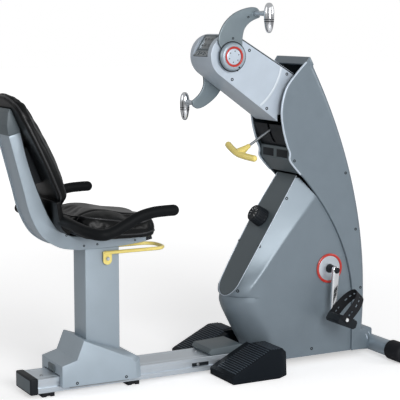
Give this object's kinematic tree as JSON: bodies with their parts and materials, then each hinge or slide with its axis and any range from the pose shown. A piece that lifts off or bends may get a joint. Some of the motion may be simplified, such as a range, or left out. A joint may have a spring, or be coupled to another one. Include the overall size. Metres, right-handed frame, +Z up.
{
  "type": "dual motion recumbent bike",
  "caption": "Recumbent exercise bike with foot pedals and arm cranks on a tilting arm, a padded seat on a rail, foot ramps, a display and yellow release handles.",
  "frame": {"origin": "centre of the bounding box on the floor", "axes": "+X from the seat towards the tower, the way the rider faces; +Y to the rider's left; +Z up"},
  "size_m": [1.5795, 0.7894, 1.4001],
  "materials": {
    "silver_cover": "satin silver-grey, lightly metallic",
    "silver_paint": "satin silver-grey paint",
    "light_silver": "light silver with a soft sheen",
    "dark_grey": "dark grey, satin",
    "black_plastic": "black, lightly textured",
    "vinyl": "black upholstery vinyl with a fine grain",
    "rubber": "black, dull",
    "yellow": "pale yellow, glossy",
    "aluminium": "drawn aluminium, fine lines along it",
    "chrome": "polished",
    "steel": "turned steel",
    "black_paint": "black paint, unseen inside the covers",
    "flywheel_iron": "machined cast iron, unseen",
    "display": "dark housing with a grey-green liquid crystal window"
  },
  "bodies": {
    "base": {"rail": "aluminium", "rail_end_cap": "black_plastic", "rail_foot_rear": "rubber", "rail_foot_middle": "rubber", "foot_platform_right": "black_plastic", "foot_platform_left": "black_plastic", "platform_bridge": "black_plastic", "base_frame": "black_paint", "front_panel": "dark_grey", "lower_shell_right": "silver_cover", "lower_shell_left": "silver_cover", "tower_shell_right": "silver_cover", "tower_shell_left": "silver_cover", "neck_cover": "dark_grey", "slot_cover": "black_plastic", "stabiliser_tube": "silver_paint", "stabiliser_collar": "silver_cover", "stabiliser_cap_right": "rubber", "stabiliser_cap_left": "rubber", "brake_magnet": "black_plastic", "drive_belt": "rubber", "arm_pivot_axle": "steel"},
    "seat_carriage": {"carriage_slide": "steel", "carriage_cover": "silver_cover", "seat_post": "silver_paint", "seat_frame": "silver_paint", "back_plate": "dark_grey", "frame_top_cap": "black_plastic", "seat_cushion": "vinyl", "back_cushion": "vinyl", "armrest_right": "rubber", "armrest_left": "rubber"},
    "seat_lever": {"seat_lever": "yellow"},
    "pedal_crank": {"crank_spindle": "steel", "drive_pulley": "black_plastic", "crank_arm_right": "chrome", "crank_arm_left": "chrome", "crank_disc_right": "aluminium", "crank_disc_left": "aluminium"},
    "pedal_right": {"pedal_right": "black_plastic", "pedal_strap_right": "rubber"},
    "pedal_left": {"pedal_left": "black_plastic", "pedal_strap_left": "rubber"},
    "flywheel": {"flywheel": "flywheel_iron"},
    "arm": {"arm_frame": "black_paint", "arm_shell_right": "light_silver", "arm_shell_left": "light_silver", "console": "display", "hand_brake_magnet": "black_plastic"},
    "key_down": {"key_down": "dark_grey"},
    "key_mode": {"key_mode": "dark_grey"},
    "key_up": {"key_up": "dark_grey"},
    "hand_crank": {"hand_axle": "steel", "hand_plate_right": "silver_cover", "hand_plate_left": "silver_cover", "hand_brake_disc": "steel"},
    "handle_right": {"handle_right": "chrome"},
    "handle_left": {"handle_left": "chrome"},
    "lock_handle": {"lock_handle": "yellow"},
    "resistance_knob": {"resistance_knob": "black_plastic"}
  },
  "joints": [
    {"name": "seat_slide", "type": "slide", "parent": "base", "child": "seat_carriage", "axis": [1, 0, 0], "range_m": [-0.08, 0.27]},
    {"name": "seat_lever_lift", "type": "hinge", "parent": "seat_carriage", "child": "seat_lever", "pos_m": [-0.4142, 0, 0.482], "axis": [0, -1, 0], "range_deg": [0, 6], "stiffness_Nm_per_rad": 6},
    {"name": "pedal_crank_spin", "type": "hinge", "parent": "base", "child": "pedal_crank", "pos_m": [0.5158, 0, 0.371], "axis": [0, 1, 0], "continuous": true},
    {"name": "flywheel_spin", "type": "hinge", "parent": "base", "child": "flywheel", "pos_m": [0.3108, 0, 0.2], "axis": [0, 1, 0], "continuous": true},
    {"name": "pedal_right_spin", "type": "hinge", "parent": "pedal_crank", "child": "pedal_right", "pos_m": [0.5034, -0.21, 0.1934], "axis": [0, 1, 0], "continuous": true},
    {"name": "pedal_left_spin", "type": "hinge", "parent": "pedal_crank", "child": "pedal_left", "pos_m": [0.5282, 0.21, 0.5486], "axis": [0, 1, 0], "continuous": true},
    {"name": "arm_tilt", "type": "hinge", "parent": "base", "child": "arm", "pos_m": [0.4858, 0, 0.98], "axis": [0, -1, 0], "range_deg": [0, 12]},
    {"name": "hand_crank_spin", "type": "hinge", "parent": "arm", "child": "hand_crank", "pos_m": [0.0828, 0, 1.203], "axis": [0, 1, 0], "continuous": true},
    {"name": "handle_right_spin", "type": "hinge", "parent": "hand_crank", "child": "handle_right", "pos_m": [0.1838, -0.19, 1.3616], "axis": [0, 1, 0], "continuous": true},
    {"name": "handle_left_spin", "type": "hinge", "parent": "hand_crank", "child": "handle_left", "pos_m": [0.0326, 0.19, 1.0218], "axis": [0, 1, 0], "continuous": true},
    {"name": "key_down_press", "type": "slide", "parent": "arm", "child": "key_down", "axis": [0.8348, 0, -0.5505], "range_m": [0, 0.001], "stiffness_N_per_m": 1500},
    {"name": "key_mode_press", "type": "slide", "parent": "arm", "child": "key_mode", "axis": [0.8348, 0, -0.5505], "range_m": [0, 0.001], "stiffness_N_per_m": 1500},
    {"name": "key_up_press", "type": "slide", "parent": "arm", "child": "key_up", "axis": [0.8348, 0, -0.5505], "range_m": [0, 0.001], "stiffness_N_per_m": 1500},
    {"name": "lock_handle_turn", "type": "hinge", "parent": "arm", "child": "lock_handle", "pos_m": [0.3028, 0, 0.913], "axis": [-0.8572, 0, -0.515], "range_deg": [0, 180]},
    {"name": "resistance_knob_turn", "type": "hinge", "parent": "base", "child": "resistance_knob", "pos_m": [0.2731, 0, 0.5726], "axis": [-0.8403, 0, 0.5421], "range_deg": [0, 300]}
  ],
  "couplings": [
    {"joint": "flywheel_spin", "follows": "pedal_crank_spin", "ratio": 4}
  ]
}
